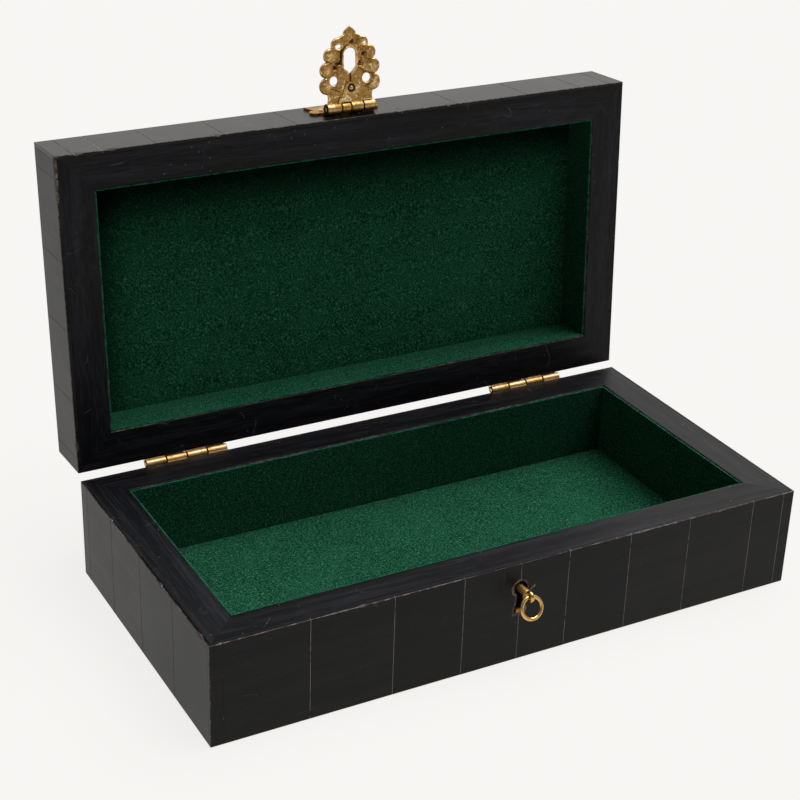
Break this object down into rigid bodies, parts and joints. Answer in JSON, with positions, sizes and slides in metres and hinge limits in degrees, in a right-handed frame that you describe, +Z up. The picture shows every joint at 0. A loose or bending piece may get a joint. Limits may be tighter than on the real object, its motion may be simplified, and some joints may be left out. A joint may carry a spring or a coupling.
{
  "type": "horn box",
  "caption": "Flat hinged box faced with dark horn plates and lined with green baize, with a lid on brass hinges, a pierced hasp, and a small lock with its key.",
  "frame": {"origin": "centre of the underside of the base, on the table", "axes": "+X to the right along the length, seen from the front; -Y towards the front, where the key is; +Z up"},
  "size_m": [0.25, 0.1707, 0.2051],
  "materials": {
    "case_wood": "bare planed softwood, seen only from below",
    "horn_rim": "dark horn strip, worn satin with streaks along the strip",
    "horn_plate": "dark polished horn, pale glue lines between plates",
    "green_baize": "short fuzzy green baize",
    "hinge_brass": "polished brass, a little dull",
    "hasp_brass": "cast brass with dark hollows",
    "lock_brass": "plain sheet brass",
    "key_brass": "bright turned brass"
  },
  "bodies": {
    "base": {"base_bottom_board": "case_wood", "base_front_wall": "case_wood", "base_back_wall": "case_wood", "base_left_wall": "case_wood", "base_right_wall": "case_wood", "base_front_rim": "horn_rim", "base_back_rim": "horn_rim", "base_left_rim": "horn_rim", "base_right_rim": "horn_rim", "base_front_plates": "horn_plate", "base_back_plates": "horn_plate", "base_left_plates": "horn_plate", "base_right_plates": "horn_plate", "base_floor_baize": "green_baize", "base_front_baize": "green_baize", "base_back_baize": "green_baize", "base_left_baize": "green_baize", "base_right_baize": "green_baize", "left_hinge_base_leaf": "hinge_brass", "right_hinge_base_leaf": "hinge_brass", "left_hinge_pin": "hinge_brass", "right_hinge_pin": "hinge_brass", "base_hinge_screws": "hinge_brass", "lock_case": "lock_brass", "lock_cap": "lock_brass", "lock_screws": "lock_brass", "bolt_spring": "lock_brass", "keyhole_liner_stub": "lock_brass"},
    "lid": {"lid_top_board": "case_wood", "lid_front_wall": "case_wood", "lid_back_wall": "case_wood", "lid_left_wall": "case_wood", "lid_right_wall": "case_wood", "lid_front_rim": "horn_rim", "lid_back_rim": "horn_rim", "lid_left_rim": "horn_rim", "lid_right_rim": "horn_rim", "lid_front_plates": "horn_plate", "lid_back_plates": "horn_plate", "lid_left_plates": "horn_plate", "lid_right_plates": "horn_plate", "lid_top_plates": "horn_plate", "lid_panel_baize": "green_baize", "lid_front_baize": "green_baize", "lid_back_baize": "green_baize", "lid_left_baize": "green_baize", "lid_right_baize": "green_baize", "left_hinge_lid_leaf": "hinge_brass", "right_hinge_lid_leaf": "hinge_brass", "lid_hinge_screws": "hinge_brass", "hasp_leaf": "hasp_brass", "hasp_leaf_pins": "hasp_brass", "hasp_pin": "hasp_brass"},
    "hasp": {"hasp_plate": "hasp_brass"},
    "lock_cam": {"lock_cam": "lock_brass"},
    "lock_bolt": {"lock_bolt": "lock_brass"},
    "key": {"key": "key_brass"},
    "key_ring": {"key_ring": "key_brass"}
  },
  "joints": [
    {"name": "lid_hinge", "type": "hinge", "parent": "base", "child": "lid", "pos_m": [0, 0.0655, 0.04215], "axis": [1, 0, 0], "range_deg": [0, 93.6]},
    {"name": "hasp_swing", "type": "hinge", "parent": "lid", "child": "hasp", "pos_m": [-0.0015, 0.07991, 0.1732], "axis": [1, 0, 0], "range_deg": [0, 90]},
    {"name": "key_turn", "type": "hinge", "parent": "base", "child": "lock_cam", "pos_m": [-0.0015, -0.0548, 0.0314], "axis": [0, -1, 0], "range_deg": [-90, 0]},
    {"name": "bolt_slide", "type": "slide", "parent": "base", "child": "lock_bolt", "axis": [1, 0, 0], "range_m": [0, 0.00481]},
    {"name": "key_slide", "type": "slide", "parent": "lock_cam", "child": "key", "axis": [0, -1, 0], "range_m": [0, 0.016]},
    {"name": "ring_swing", "type": "hinge", "parent": "key", "child": "key_ring", "pos_m": [-0.0015, -0.07, 0.0314], "axis": [1, 0, 0], "range_deg": [-140, 61]}
  ],
  "couplings": [
    {"joint": "bolt_slide", "follows": "key_turn", "m_per_rad": -0.0030611}
  ]
}
